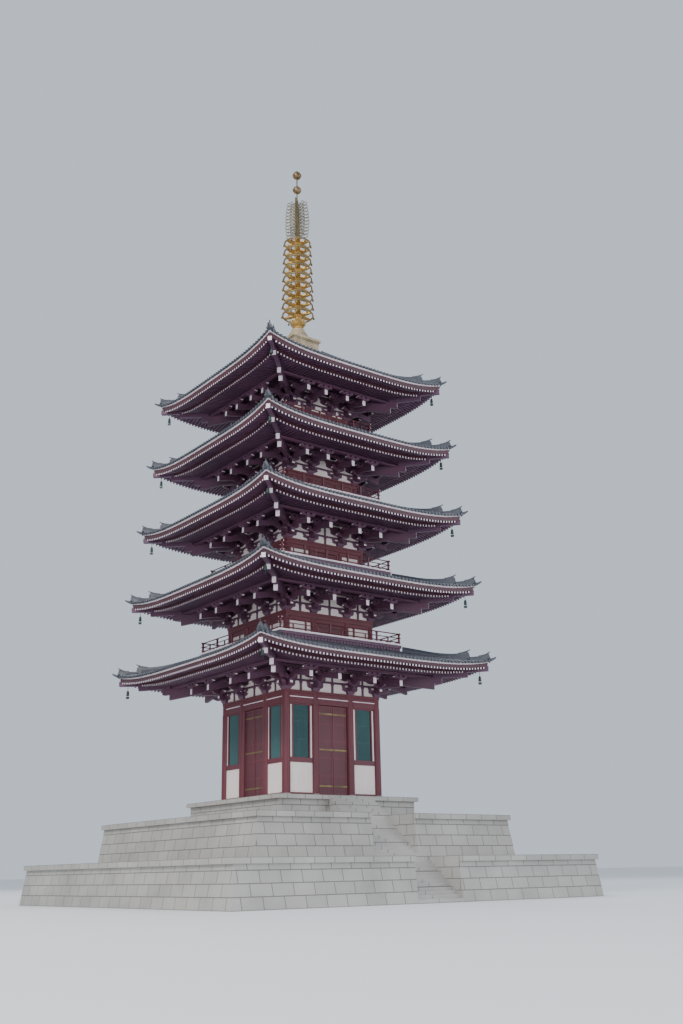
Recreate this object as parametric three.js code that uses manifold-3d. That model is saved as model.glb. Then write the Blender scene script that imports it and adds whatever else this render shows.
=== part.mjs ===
// Five-storey pagoda with a gilded finial, as a 1:2 scale model.
// Every dimension below is in metres of the real building; z is up from the ground.
import * as THREE from "three";
import Module from "manifold-3d";

// Model millimetres for one metre of the real building, at 1:2
const MM = 500;

// Podium: a wide lower terrace, an upper podium, and the floor that the first storey stands on
const TERRACE = { half: 13.0, top: 2.4 };
const PODIUM = { half: 9.4, top: 4.8 };
const PLINTH = { half: 5.3, top: 6.0 };
const STEP = { width: 3.2, riser: 0.2, tread: 0.25 };

// Storeys from the ground up
// columns: distance of the outer column axes from the centre; inner: the door columns
// floor: top of the floor; edge: half the balcony's width
// eave: half the white eave line; sag: how far the line hangs lower at mid side
// corner: height of the white eave line at the corners
const STOREYS = [
  { columns: 3.49, inner: 1.36, floor: 6.0, edge: 5.3, eave: 8.78, corner: 14.36, sag: 0.48 },
  { columns: 3.32, inner: 1.32, floor: 15.79, edge: 4.85, eave: 8.32, corner: 19.44, sag: 0.52 },
  { columns: 2.94, inner: 1.18, floor: 20.82, edge: 4.47, eave: 7.88, corner: 24.38, sag: 0.56 },
  { columns: 2.72, inner: 1.04, floor: 25.88, edge: 4.1, eave: 7.51, corner: 29.26, sag: 0.6 },
  { columns: 2.35, inner: 0.9, floor: 30.86, edge: 3.75, eave: 7.2, corner: 34.1, sag: 0.6 },
];

// Heights measured down from the white eave line at mid side, the same on every storey
const PLATE_DROP = 1.53;
const BLOCK_DROP = 0.95;
const PURLIN_DROP = { bottom: 0.76, top: 0.27 };
const HIP_DROP = 0.41;

// Eaves: how far in from the eave line the purlin and the tips of the lower rafter row lie
const PURLIN_INSET = 2.7;
const ROW_INSET = 1.05;

// Rise for each metre inwards: top of the deck, and underside of the lower rafter row
const DECK_RISE = 0.043;
const SOFFIT_SLOPE = 0.118;

// Play between seated pieces
const PLAY = 0.0006;

// Timber sizes
const COLUMN_RADIUS = { ground: 0.26, upper: 0.2 };
const COLUMN_FACES = { ground: 10, upper: 6 };
const WALL = 0.16;
const HEAD_BEAM = { ground: 0.79, upper: 0.36, inside: 0.2, outside: 0.2 };
const BRACKET = 0.24;
const LEAF = 0.07;

// First-storey windows, doors and the play around a door leaf
const WINDOW = { sill: 8.3, margin: 0.44, bars: 6, bar: 0.08 };
const DOOR = { threshold: 0.12, play: 0.03, pin: 0.025 };

// Balconies
const FLOOR_THICKNESS = 0.28;
const RAIL = { inset: 0.16, size: 0.09, top: 0.72, middle: 0.4, posts: 3 };

// Tiled roofs
const TILE = { rise: 0.17, overhang: 0.12, shell: 0.3, neck: 0.3, neckDepth: 1.9, foot: 0.6 };
const HIP = { width: 0.44, height: 0.36, low: 0.2 };
const TOP_ROOF = { half: 1.25, top: 37.35 };

// Finial
const BOX = { half: 1.2, low: 37.35, high: 38.5 };
const BOWL = { top: 39.45, bottom: 38.5 };
const LOTUS = { top: 40.3, radius: 0.72 };
const RINGS = { count: 9, low: 40.62, high: 46.7, wide: 1.17, narrow: 1.01, height: 0.24 };
const SHAFT = { radius: 0.17, top: 47.15 };
const FLAME = { low: 47.15, high: 50.6, half: 1.0, thickness: 0.06 };
const JEWELS = [
  { z: 51.54, radius: 0.32 },
  { z: 52.85, radius: 0.36 },
];
const TIP = 53.32;

// How the corners rise: power of the curve along a side, powers of the curves from the purlin out
// to the eave for tiles and for timber, and the part of the rise that the rafters take
const LIFT = { power: 3.9, tiles: 1.5, timber: 0.5, rafters: 0.75 };

// Places along one side of a square, as shares of its half width
const SIDE = [-1, -0.72, 0, 0.72];

const wasm = await Module();
wasm.setup();

// One closed solid from a three.js geometry, in real metres
function solid(geometry) {
  const position = geometry.getAttribute("position");
  const index = geometry.getIndex();
  const corners = index ? index.count : position.count;
  const seen = new Map();
  const points = [];
  const ids = [];
  for (let i = 0; i < position.count; i += 1) {
    const p = [position.getX(i), position.getY(i), position.getZ(i)];
    const key = p.map((value) => Math.round(value * 1e5)).join(",");
    if (!seen.has(key)) {
      seen.set(key, points.length / 3);
      points.push(...p);
    }
    ids.push(seen.get(key));
  }
  const triangles = [];
  let volume = 0;
  for (let i = 0; i < corners; i += 3) {
    const [a, b, c] = [0, 1, 2].map((k) => ids[index ? index.getX(i + k) : i + k]);
    if (a === b || b === c || c === a) continue;
    triangles.push(a, b, c);
    const [p, q, r] = [a, b, c].map((k) => new THREE.Vector3().fromArray(points, 3 * k));
    volume += p.dot(q.cross(r));
  }
  if (volume < 0) triangles.reverse();
  return new wasm.Manifold(new wasm.Mesh({
    numProp: 3,
    vertProperties: new Float32Array(points),
    triVerts: new Uint32Array(triangles),
  }));
}

// Joins a list of solids
function join(list) {
  return list.reduce((sum, item) => sum.add(item));
}

// Cuts a list of solids from another
function cut(body, list) {
  return list.reduce((rest, item) => rest.subtract(item), body);
}

// Box between two opposite corners
function box(x0, x1, y0, y1, z0, z1) {
  const geometry = new THREE.BoxGeometry(x1 - x0, y1 - y0, z1 - z0);
  geometry.translate((x0 + x1) / 2, (y0 + y1) / 2, (z0 + z1) / 2);
  return solid(geometry);
}

// Upright round post
function post(x, y, z0, z1, radius, sides) {
  const geometry = new THREE.CylinderGeometry(radius, radius, z1 - z0, sides);
  geometry.rotateX(Math.PI / 2);
  geometry.translate(x, y, (z0 + z1) / 2);
  return solid(geometry);
}

// Turned body on the centre line from a closed list of [radius, height]
function turned(profile, sides) {
  const points = profile.map(([r, z]) => new THREE.Vector2(r, z));
  const geometry = new THREE.LatheGeometry(points, sides);
  geometry.rotateX(Math.PI / 2);
  return solid(geometry);
}

// Ring that runs round a square plan; profile is a closed list of [half width, height, share]
// sag is how far the corners rise over mid side, and each point takes its share of it
function squareRing(profile, sag = 0) {
  const closed = [...profile, profile[0]];
  const places = sag > 0 ? SIDE : [-1];
  const count = 4 * places.length;
  const points = closed.map(([r, z]) => new THREE.Vector2(r, z));
  const geometry = new THREE.LatheGeometry(points, count);
  const position = geometry.getAttribute("position");
  for (let i = 0; i < position.count; i += 1) {
    const column = Math.floor(i / points.length) % count;
    const [half, height, share = 0] = closed[i % points.length];
    const along = places[column % places.length];
    const turn = (Math.floor(column / places.length) * Math.PI) / 2;
    const x = half * along;
    const y = -half;
    position.setXYZ(
      i,
      x * Math.cos(turn) - y * Math.sin(turn),
      x * Math.sin(turn) + y * Math.cos(turn),
      height + sag * share * Math.abs(along) ** LIFT.power,
    );
  }
  return solid(geometry);
}

// Plate that stands upright and radially: outline in [distance from centre, height]
// angle is measured from the front; the outline is drawn along the side's outward direction
function radialPlate(outline, thickness, angle, shift = 0) {
  const shape = new THREE.Shape(outline.map(([r, z]) => new THREE.Vector2(r, z)));
  const geometry = new THREE.ExtrudeGeometry(shape, { depth: thickness, bevelEnabled: false });
  geometry.translate(0, 0, -thickness / 2);
  geometry.rotateX(Math.PI / 2);
  geometry.rotateZ(-Math.PI / 2);
  geometry.translate(shift, 0, 0);
  geometry.rotateZ(angle);
  return solid(geometry);
}

// The four quarter turns
const QUARTERS = [0, 1, 2, 3].map((side) => (side * Math.PI) / 2);

// Copies of a solid on all four sides
function onFourSides(body) {
  return QUARTERS.map((turn) => body.rotate([0, 0, (turn * 180) / Math.PI]));
}

// Height of the white eave line at mid side
const eaveHeight = (storey) => storey.corner - storey.sag;
const plateTop = (storey) => eaveHeight(storey) - PLATE_DROP;

// Share of the corners' rise at a distance from the centre: full at the eave, none at the purlin
function liftShare(storey, half, power) {
  const share = (half - storey.eave + PURLIN_INSET) / PURLIN_INSET;
  return Math.min(1, Math.max(0, share)) ** power;
}

// Straight flight on the front side, from its foot inwards
function flight(foot, low, high) {
  const count = Math.round((high - low) / STEP.riser);
  const outline = [[foot - count * STEP.tread, low], [foot, low]];
  for (let i = 0; i < count; i += 1) {
    const edge = foot - i * STEP.tread;
    outline.push([edge, low + (i + 1) * STEP.riser]);
    outline.push([edge - STEP.tread, low + (i + 1) * STEP.riser]);
  }
  return radialPlate(outline, STEP.width, 0);
}

// Square tier with battered sides and a coping
function tier(half, low, high) {
  const batter = 0.25;
  const coping = 0.3;
  const base = new THREE.CylinderGeometry(
    (half - batter) * Math.SQRT2, half * Math.SQRT2, high - coping - low, 4,
  );
  base.rotateX(Math.PI / 2);
  base.rotateZ(Math.PI / 4);
  base.translate(0, 0, (low + high - coping) / 2);
  const edge = half - 0.1;
  return join([solid(base), box(-edge, edge, -edge, edge, high - coping, high)]);
}

// First-storey window opening with its upright bars, in the wall that faces the front
function windowBars(left, right, top, at) {
  const pitch = (right - left) / (WINDOW.bars + 1);
  const bars = [];
  for (let i = 1; i <= WINDOW.bars; i += 1) {
    const x = left + i * pitch;
    const half = WINDOW.bar / 2;
    bars.push(box(x - half, x + half, at - half, at + half, WINDOW.sill - 0.01, top + 0.01));
  }
  return bars;
}

// L-shaped corner of the first storey: three columns, two walls and two windows
function groundCorner(storey) {
  const { columns: c, inner, floor } = storey;
  const top = plateTop(storey) - HEAD_BEAM.ground;
  const lintel = 0.1;
  const t = WALL / 2;
  const front = box(-c, -inner, -c - t, -c + t, floor, top);
  const left = -c + WINDOW.margin;
  const right = -inner - WINDOW.margin;
  const opening = box(left, right, -c - 1, -c + 1, WINDOW.sill, top - lintel);
  const wall = join([cut(front, [opening]), ...windowBars(left, right, top - lintel, -c)]);
  const mirrored = wall.mirror([1, -1, 0]);
  const radius = COLUMN_RADIUS.ground;
  const spots = [[-c, -c], [-inner, -c], [-c, -inner]];
  const posts = spots.map(([x, y]) => post(x, y, floor, top, radius, COLUMN_FACES.ground));
  return join([wall, mirrored, ...posts]);
}

// Door leaf on the front side, turning on a pin at its outer edge; side is -1 or 1
function doorLeaf(storey, side) {
  const { columns: c, inner, floor } = storey;
  const top = plateTop(storey) - HEAD_BEAM.ground;
  const outer = inner - COLUMN_RADIUS.ground - DOOR.play;
  const x = [side * DOOR.play * 0.5, side * outer].sort((a, b) => a - b);
  const low = floor + DOOR.threshold;
  const panel = box(x[0], x[1], -c - LEAF / 2, -c + LEAF / 2, low + DOOR.play, top - DOOR.play);
  const pivot = side * (outer - LEAF / 2);
  return panel.add(post(pivot, -c, low + PLAY, top - PLAY, DOOR.pin, 8));
}

// Square frame of head beam and plate that lies on the columns
function headFrame(c, low, high) {
  return squareRing([
    [c - HEAD_BEAM.inside, low],
    [c + HEAD_BEAM.outside, low],
    [c + HEAD_BEAM.outside, high],
    [c - HEAD_BEAM.inside, high],
  ]);
}

// Upper storey: hollow square wall, twelve columns and head frame, with closed doors mid side
function upperBody(storey) {
  const { columns: c, inner, floor } = storey;
  const top = plateTop(storey);
  const beam = top - HEAD_BEAM.upper;
  const wall = squareRing([
    [c - WALL / 2, floor],
    [c + WALL / 2, floor],
    [c + WALL / 2, top],
    [c - WALL / 2, top],
  ]);
  const edge = inner - COLUMN_RADIUS.upper;
  const doorway = box(-edge, edge, -c - 1, -c + 1, floor + 0.12, beam - 0.08);
  const leaf = box(-edge - 0.02, edge + 0.02, -c - LEAF / 2, -c + LEAF / 2, floor + 0.05, beam);
  const spots = [[-c, -c], [-inner, -c], [inner, -c]];
  const faces = COLUMN_FACES.upper;
  const posts = spots.map(([x, y]) => post(x, y, floor, beam, COLUMN_RADIUS.upper, faces));
  return join([
    cut(wall, onFourSides(doorway)),
    headFrame(c, beam, top),
    ...onFourSides(join([leaf, ...posts])),
  ]);
}

// Balcony: floor slab with its railing of three rails and crossing ends
function balcony(storey) {
  const { edge, floor } = storey;
  const line = edge - RAIL.inset;
  const slab = box(-edge, edge, -edge, edge, floor - FLOOR_THICKNESS, floor);
  const half = RAIL.size / 2;
  const rails = [RAIL.middle, RAIL.top].map((height) => squareRing([
    [line - half, floor + height - RAIL.size],
    [line + half, floor + height - RAIL.size],
    [line + half, floor + height],
    [line - half, floor + height],
  ]));
  const slim = half - 0.01;
  const posts = [];
  for (let i = 0; i < RAIL.posts; i += 1) {
    const x = -line + (2 * line * i) / RAIL.posts;
    const high = floor + RAIL.top - half;
    posts.push(box(x - slim, x + slim, -line - slim, -line + slim, floor - half, high));
  }
  return join([slab, ...rails, ...onFourSides(join(posts))]);
}

// Bracket band: the wall over the plate, the radial arms with their tail beams, and the purlin
function brackets(storey) {
  const { columns: c, inner, eave } = storey;
  const line = eaveHeight(storey);
  const low = line - PLATE_DROP;
  const purlin = eave - PURLIN_INSET;
  const top = line - PURLIN_DROP.top + SOFFIT_SLOPE * (purlin - c);
  const band = squareRing([
    [c - 0.12, low],
    [c + 0.12, low],
    [c + 0.12, top - 0.03],
    [c - 0.12, top + 0.12 * SOFFIT_SLOPE],
  ]);
  const block = line - BLOCK_DROP;
  const arm = [
    [c, low],
    [c + 0.3, low],
    [c + 0.95, low + 0.32],
    [purlin - 0.25, block - 0.22],
    [purlin + 0.1, block - 0.22],
    [purlin + 0.1, block + 0.2],
    [c, block + 0.2 + 0.17 * (purlin - c)],
  ];
  const arms = [-inner, inner].map((x) => radialPlate(arm, BRACKET, 0, x));
  const corners = [-c, c].map((x) => radialPlate(arm, BRACKET, 0, x));
  const diagonal = [
    ...arm.slice(0, 4),
    [purlin + 0.17, block - 0.22],
    [purlin + 0.17, block + 0.18],
    [purlin + 0.52, block + 0.18],
    [purlin + 0.52, line - HIP_DROP - PLAY],
    [purlin - 0.2, line - HIP_DROP - PLAY],
    [c, line - HIP_DROP + 0.1],
  ].map(([r, z]) => [r * Math.SQRT2, z]);
  const half = 0.13;
  const shoulder = line - PURLIN_DROP.top - half * SOFFIT_SLOPE - 0.01;
  const purlins = squareRing([
    [purlin - half, line - PURLIN_DROP.bottom],
    [purlin + half, line - PURLIN_DROP.bottom],
    [purlin + half, shoulder],
    [purlin, line - PURLIN_DROP.top],
    [purlin - half, shoulder],
  ]);
  const corner = radialPlate(diagonal, BRACKET, -Math.PI / 4);
  return join([band, purlins, ...onFourSides(join([...arms, ...corners, corner]))]);
}

// Top of the eaves deck at mid side
function deckTop(storey, half) {
  return eaveHeight(storey) + DECK_RISE * (storey.eave - half);
}

// Bell under a corner, with the rod that carries it
function bell(storey) {
  const at = (storey.eave - 0.46) * Math.SQRT2;
  const z = storey.corner - 1.09;
  const geometry = new THREE.CylinderGeometry(0.09, 0.15, 0.42, 4);
  geometry.rotateX(Math.PI / 2);
  geometry.rotateZ(Math.PI / 4);
  geometry.translate(0, -at, z);
  const rod = box(-0.025, 0.025, -at - 0.025, -at + 0.025, z + 0.2, storey.corner - 0.6);
  return join([solid(geometry), rod]).rotate([0, 0, -45]);
}

// Eaves: the deck that carries the tiles, both rafter rows as one soffit, hip rafters and bells
function eaves(storey) {
  const { columns: c, eave } = storey;
  const line = eaveHeight(storey);
  const purlin = eave - PURLIN_INSET;
  const row = eave - ROW_INSET;
  const under = (half) => line - PURLIN_DROP.top + SOFFIT_SLOPE * (purlin - half);
  const foot = eave - TILE.foot;
  const lift = (half) => liftShare(storey, half, LIFT.timber);
  const rowLift = LIFT.rafters * lift(row);
  const deck = squareRing([
    [c - 0.12, under(c - 0.12)],
    [purlin, under(purlin)],
    [row, under(row), rowLift],
    [row, line - 0.21, rowLift],
    [eave - 0.1, line - 0.44, LIFT.rafters],
    [eave - 0.04, line - 0.14, 1],
    [eave, line, 1],
    [foot, deckTop(storey, foot), lift(foot)],
    [purlin, deckTop(storey, purlin)],
    [c - 0.12, deckTop(storey, c - 0.12)],
  ], storey.sag);
  const high = storey.corner;
  const rafter = [
    [purlin + 0.14, line - HIP_DROP],
    [purlin + 0.6, line - HIP_DROP],
    [row - 0.05, high - 0.93],
    [row + 0.05, high - 0.93],
    [row + 0.05, high - 0.66],
    [eave - 0.04, high - 0.66],
    [eave + 0.02, high - 0.2],
    [purlin + 0.14, line + 0.05],
  ].map(([r, z]) => [r * Math.SQRT2, z]);
  const hip = radialPlate(rafter, 0.3, -Math.PI / 4);
  return join([deck, ...onFourSides(join([hip, bell(storey)]))]);
}

// Tiled roof over a storey: a shell with a neck inside that carries what stands on it
function tiledRoof(storey, inner, top) {
  const line = eaveHeight(storey);
  const { eave } = storey;
  const edge = eave + TILE.overhang;
  const low = line + TILE.rise;
  const surface = (half) => {
    const share = (edge - half) / (edge - inner);
    return low + (top - low) * (0.72 * share + 0.28 * share ** 2);
  };
  const places = [0.35, 0.68].map((share) => edge - share * (edge - inner));
  const [near] = places;
  const neck = inner - TILE.neck;
  const foot = eave - TILE.foot;
  const share = (half) => liftShare(storey, half, LIFT.tiles);
  const neckFoot = (half) => Math.max(deckTop(storey, half) + PLAY, top - TILE.neckDepth);
  const shell = squareRing([
    [edge, line + 0.02, 1],
    [edge, low, 1],
    ...places.map((half) => [half, surface(half), share(half)]),
    [inner, top],
    [neck, top],
    [neck, neckFoot(neck)],
    [inner, neckFoot(inner)],
    [inner, surface(inner) - TILE.shell],
    [near, surface(near) - TILE.shell, share(near)],
    [foot, deckTop(storey, foot), liftShare(storey, foot, LIFT.timber)],
    [eave, line, 1],
  ], storey.sag).mirror([1, 0, 0]);
  const z = (half) => surface(half) + storey.sag * share(half);
  const first = eave - 0.88;
  const ridge = [
    [inner - 0.05, z(inner) - 0.25],
    [places[1], z(places[1]) - 0.1],
    [places[0], z(places[0]) - 0.1],
    [eave, z(eave) - 0.1],
    [eave + 0.28, z(eave) - 0.06],
    [eave + 0.34, z(eave) + 0.06],
    [eave + 0.04, z(eave) + 0.1],
    [eave + 0.08, z(eave) + 0.56],
    [eave - 0.4, z(eave - 0.4) + HIP.low],
    [first + 0.1, z(first) + HIP.low],
    [first, z(first) + 0.68],
    [first - 0.5, z(first - 0.5) + HIP.height],
    [places[1], z(places[1]) + HIP.height],
    [inner - 0.05, z(inner) + (inner > 3 ? -0.02 : HIP.height)],
  ].map(([r, height]) => [r * Math.SQRT2, height]);
  const hip = radialPlate(ridge, HIP.width, -Math.PI / 4);
  return join([shell, ...onFourSides(hip)]);
}

// Ring of the finial with its four spokes
function finialRing(z, radius) {
  const { height } = RINGS;
  const hoop = turned([
    [radius - 0.06, z],
    [radius, z],
    [radius, z + height],
    [radius - 0.06, z + height],
    [radius - 0.06, z],
  ], 12);
  const reach = radius - 0.03;
  const spoke = box(-reach, reach, -0.05, 0.05, z + 0.02, z + 0.1);
  return join([hoop, spoke, spoke.rotate([0, 0, 90])]);
}

// Lotus, shaft and the nine rings
function ringColumn() {
  const lotus = turned([
    [0.001, BOWL.top],
    [0.34, BOWL.top],
    [LOTUS.radius, LOTUS.top - 0.1],
    [LOTUS.radius, LOTUS.top],
    [0.001, LOTUS.top],
    [0.001, BOWL.top],
  ], 16);
  const shaft = post(0, 0, BOWL.top, SHAFT.top, SHAFT.radius, 8);
  const rings = [];
  for (let i = 0; i < RINGS.count; i += 1) {
    const share = i / (RINGS.count - 1);
    const radius = RINGS.wide + (RINGS.narrow - RINGS.wide) * share;
    rings.push(finialRing(RINGS.low + (RINGS.high - RINGS.low) * share, radius));
  }
  return join([lotus, shaft, ...rings]);
}

// Openwork flame: four upright vanes with holes, on a sleeve, that point to the corners
function flame() {
  const { low, high, half } = FLAME;
  const vane = [
    [-half * 0.9, low + 0.2],
    [half * 0.9, low + 0.2],
    [half, low + 1.1],
    [half * 0.86, low + 2.5],
    [half * 0.62, high - 0.2],
    [-half * 0.62, high - 0.2],
    [-half * 0.86, low + 2.5],
    [-half, low + 1.1],
  ];
  const plate = radialPlate(vane, FLAME.thickness, 0);
  const holes = [];
  for (const side of [-1, 1]) {
    for (const z of [low + 0.75, low + 1.65, low + 2.5]) {
      const y = side * half * 0.5;
      holes.push(box(-1, 1, y - 0.16, y + 0.16, z - 0.3, z + 0.3));
    }
  }
  const pierced = cut(plate, holes);
  const sleeve = post(0, 0, low, high, 0.19, 8);
  return join([sleeve, pierced.rotate([0, 0, 45]), pierced.rotate([0, 0, 135])]);
}

// Two jewels on the rod at the tip
function jewels() {
  const rod = post(0, 0, FLAME.high, JEWELS[1].z, 0.07, 8);
  const balls = JEWELS.map(({ z, radius }) => {
    const geometry = new THREE.SphereGeometry(radius, 10, 6);
    geometry.rotateX(Math.PI / 2);
    geometry.translate(0, 0, z);
    return solid(geometry);
  });
  const cone = new THREE.ConeGeometry(0.18, TIP - JEWELS[1].z - 0.25, 8);
  cone.rotateX(Math.PI / 2);
  cone.translate(0, 0, (TIP + JEWELS[1].z + 0.25) / 2);
  return join([rod, ...balls, solid(cone)]);
}

// Square base box of the finial with a cornice, and the bowl on it
function finialBox() {
  const { half, low, high } = BOX;
  const cornice = box(-half, half, -half, half, high - 0.22, high);
  const body = box(-half + 0.1, half - 0.1, -half + 0.1, half - 0.1, low, high - 0.1);
  const bowl = turned([
    [0.001, BOWL.bottom - 0.05],
    [0.85, BOWL.bottom - 0.05],
    [0.78, BOWL.bottom + 0.4],
    [0.5, BOWL.top],
    [0.001, BOWL.top],
    [0.001, BOWL.bottom - 0.05],
  ], 16);
  return join([cornice, body, bowl]);
}

const root = new THREE.Group();

// Adds a solid to the assembly as a named mesh in model millimetres
function add(name, body) {
  const { numProp, vertProperties, triVerts } = body.getMesh();
  const count = vertProperties.length / numProp;
  const positions = new Float32Array(count * 3);
  for (let i = 0; i < count; i += 1) {
    for (let k = 0; k < 3; k += 1) positions[3 * i + k] = vertProperties[numProp * i + k] * MM;
  }
  const geometry = new THREE.BufferGeometry();
  geometry.setAttribute("position", new THREE.BufferAttribute(positions, 3));
  geometry.setIndex(Array.from(triVerts));
  const mesh = new THREE.Mesh(geometry);
  mesh.name = name;
  root.add(mesh);
}

const ground = STOREYS[0];
const SIDES = ["front", "right", "back", "left"];
const CORNERS = ["front_left", "front_right", "back_right", "back_left"];

// Stone base with its steps
const lowerFoot = TERRACE.half;
const upperFoot = PODIUM.half;
const lowerFlight = flight(lowerFoot, 0, TERRACE.top);
const upperFlight = flight(upperFoot, TERRACE.top, PODIUM.top);
const way = STEP.width / 2 + PLAY;
const run = (high, low) => Math.round((high - low) / STEP.riser) * STEP.tread + PLAY;
const lowerWay = box(-way, way, -lowerFoot - 1, -lowerFoot + run(TERRACE.top, 0), -1, 9);
const upperWay = box(-way, way, -upperFoot - 1, -upperFoot + run(PODIUM.top, TERRACE.top), -1, 9);
add("lower_terrace", cut(tier(TERRACE.half, 0, TERRACE.top), [lowerWay]));
add("upper_podium", cut(tier(PODIUM.half, TERRACE.top, PODIUM.top), [upperWay]));
add("lower_steps", lowerFlight);
add("upper_steps", upperFlight);
const plinth = box(-5.1, 5.1, -5.1, 5.1, PODIUM.top, PLINTH.top - 0.25);
const veranda = box(-PLINTH.half, PLINTH.half, -PLINTH.half, PLINTH.half, PLINTH.top - 0.25, PLINTH.top);
const doorway = ground.inner - COLUMN_RADIUS.ground - 0.01;
const sill = box(
  -doorway, doorway, -ground.columns - 0.12, -ground.columns + 0.12,
  PLINTH.top - 0.01, PLINTH.top + DOOR.threshold,
);
const porch = flight(PLINTH.half + 1.3, PODIUM.top, PLINTH.top);
add("ground_floor", join([plinth, veranda, porch, ...onFourSides(sill)]));

// First storey: four corners, a threshold under each pair of doors, and the head frame
const corner = groundCorner(ground);
onFourSides(corner).forEach((body, i) => add(`ground_corner_${CORNERS[i]}`, body));
for (const [i, turn] of QUARTERS.entries()) {
  for (const [name, side] of [["left", -1], ["right", 1]]) {
    const leaf = doorLeaf(ground, side).rotate([0, 0, (turn * 180) / Math.PI]);
    add(`door_${SIDES[i]}_${name}`, leaf);
  }
}
add("head_frame_1", headFrame(ground.columns, plateTop(ground) - HEAD_BEAM.ground, plateTop(ground)));

// Upper storeys, brackets, eaves and roofs
STOREYS.forEach((storey, i) => {
  const number = i + 1;
  const above = STOREYS[i + 1];
  if (i > 0) {
    add(`balcony_${number}`, balcony(storey));
    add(`walls_${number}`, upperBody(storey));
  }
  add(`brackets_${number}`, brackets(storey));
  add(`eaves_${number}`, eaves(storey));
  const inner = above ? above.edge - 0.12 : TOP_ROOF.half;
  const top = above ? above.floor - FLOOR_THICKNESS : TOP_ROOF.top;
  add(`roof_${number}`, tiledRoof(storey, inner, top));
});

// Finial
add("finial_box", finialBox());
add("finial_rings", ringColumn());
add("finial_flame", flame());
add("finial_jewels", jewels());

export default root;
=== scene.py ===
# Looks of the tiered pagoda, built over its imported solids.
# Sizes are in metres of the real building; SCALE turns them into metres of the 1:2 model.
# The front faces -Y. What repeats on four sides is made there once and then turned.
import math
from collections import namedtuple

import bpy
from mathutils import Matrix, Vector


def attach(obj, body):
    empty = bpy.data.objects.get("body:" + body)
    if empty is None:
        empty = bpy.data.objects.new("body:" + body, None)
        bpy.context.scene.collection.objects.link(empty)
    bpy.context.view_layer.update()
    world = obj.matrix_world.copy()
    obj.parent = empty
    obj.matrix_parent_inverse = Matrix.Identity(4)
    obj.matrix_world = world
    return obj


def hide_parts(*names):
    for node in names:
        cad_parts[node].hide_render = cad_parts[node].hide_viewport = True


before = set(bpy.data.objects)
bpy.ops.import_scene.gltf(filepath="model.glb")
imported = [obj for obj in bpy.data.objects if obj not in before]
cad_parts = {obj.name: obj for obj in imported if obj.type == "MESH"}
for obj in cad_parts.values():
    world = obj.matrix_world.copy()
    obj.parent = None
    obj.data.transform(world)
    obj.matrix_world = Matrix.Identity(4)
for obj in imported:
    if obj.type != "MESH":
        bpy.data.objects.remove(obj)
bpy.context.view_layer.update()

SCALE = 0.5
BODY = "pagoda"

# One storey: half distances of the outer and inner column axes, floor height, half width of the
# balcony, half width of the white eave line, its height at the corners and its sag at mid side, how
# far the board and tiles stand above it, and the height over the wall plate of the bar between panels.
# The top roof: half width and height of its inner end
Storey = namedtuple("Storey", "columns inner floor edge eave corner sag trim bar")
STOREYS = (
    Storey(3.49, 1.36, 6.0, 5.3, 8.78, 14.36, 0.48, 0.015, 0.59),
    Storey(3.32, 1.32, 15.79, 4.85, 8.32, 19.44, 0.52, 0.035, 0.5),
    Storey(2.94, 1.18, 20.82, 4.47, 7.88, 24.38, 0.56, 0.06, 0.5),
    Storey(2.72, 1.04, 25.88, 4.1, 7.51, 29.26, 0.6, 0.06, 0.5),
    Storey(2.35, 0.9, 30.86, 3.75, 7.2, 34.1, 0.6, 0.08, 0.5),
)
TOP_ROOF = (1.25, 37.35)

# Heights below the white eave line at mid side: wall plate, soffit, hip beams and tail beam ends
PLATE_DROP = 1.53
SOFFIT_DROP = 0.27
HIP_DROP = 0.41
BLOCK_DROP = 0.95

# Distances in from the white eave line: outer purlin, and tips of the lower rafters
PURLIN_INSET = 2.7
ROW_INSET = 1.05

# Slopes of the soffit, the tail beams and the deck
SOFFIT_SLOPE = 0.118
TAIL_SLOPE = 0.22
DECK_RISE = 0.043

# Power of the eaves' rise towards the corners, and the part of that rise that the rafters take
LIFT_POWER = 3.9
RAFTER_LIFT = 0.92

# Column radii, heights of the head frames and of the lintel below one, and thickness of a floor
GROUND_RADIUS = 0.26
UPPER_RADIUS = 0.2
GROUND_HEAD = 0.79
UPPER_HEAD = 0.36
UPPER_LINTEL = 0.27
FLOOR_THICKNESS = 0.28

# Rafters: distance apart, width and height
RAFTER = dict(pitch=0.25, width=0.096, height=0.12)

# Tiles: distance of the barrel rows, length of a tile, radius of a row, depth of a valley, rise over
# the eave line and overhang; and the shell under them: its thickness, reach in under the next storey,
# and how far in from the eave line it lands on the deck
TILE = dict(pitch=0.29, length=0.3, radius=0.08, valley=0.035, rise=0.17, overhang=0.12)
TILE_SHELL = dict(thickness=0.22, neck=0.3, foot=0.6)

# Timber skirt under each balcony: the tiles meet it this far below the floor slab
SKIRT = 0.16

# How far the hip ridges reach down between the tile rows
RIDGE_SINK = 0.1

# Width of the bracket arms, and by storey the bays with a strut between the plaster panels
ARM_WIDTH = 0.2
STRUTS = {1: (-1, 0, 1), 2: (-1, 0, 1), 3: (0,)}

# Balcony rails: height over the floor, radius, reach past the corner post and rise of the tips
RAILS = ((0.13, 0.04, 0.12, 0.0), (0.41, 0.03, 0.15, 0.0), (0.68, 0.038, 0.155, 0.03))
RAILING_INSET = 0.16
RAILING_BAYS = 5

# Windows of the first storey: height of the sill, distance in from the column axes, and the bars
WINDOW = dict(sill=8.3, inset=0.44, bars=13, bar_radius=0.042)

# Finial: heights of its parts, number of rings, height and radius of the lowest and highest ring and
# of the two jewels, and levels of tendrils in the flame
FINIAL = dict(box=37.35, bowl=38.5, lotus=39.45, flame=47.2, rod=50.6, tip=53.318)
RINGS = 9
RING_ENDS = ((40.62, 1.17), (46.7, 1.01))
JEWELS = ((51.54, 0.32), (52.85, 0.33))
FLAME_LEVELS = 11

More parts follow.
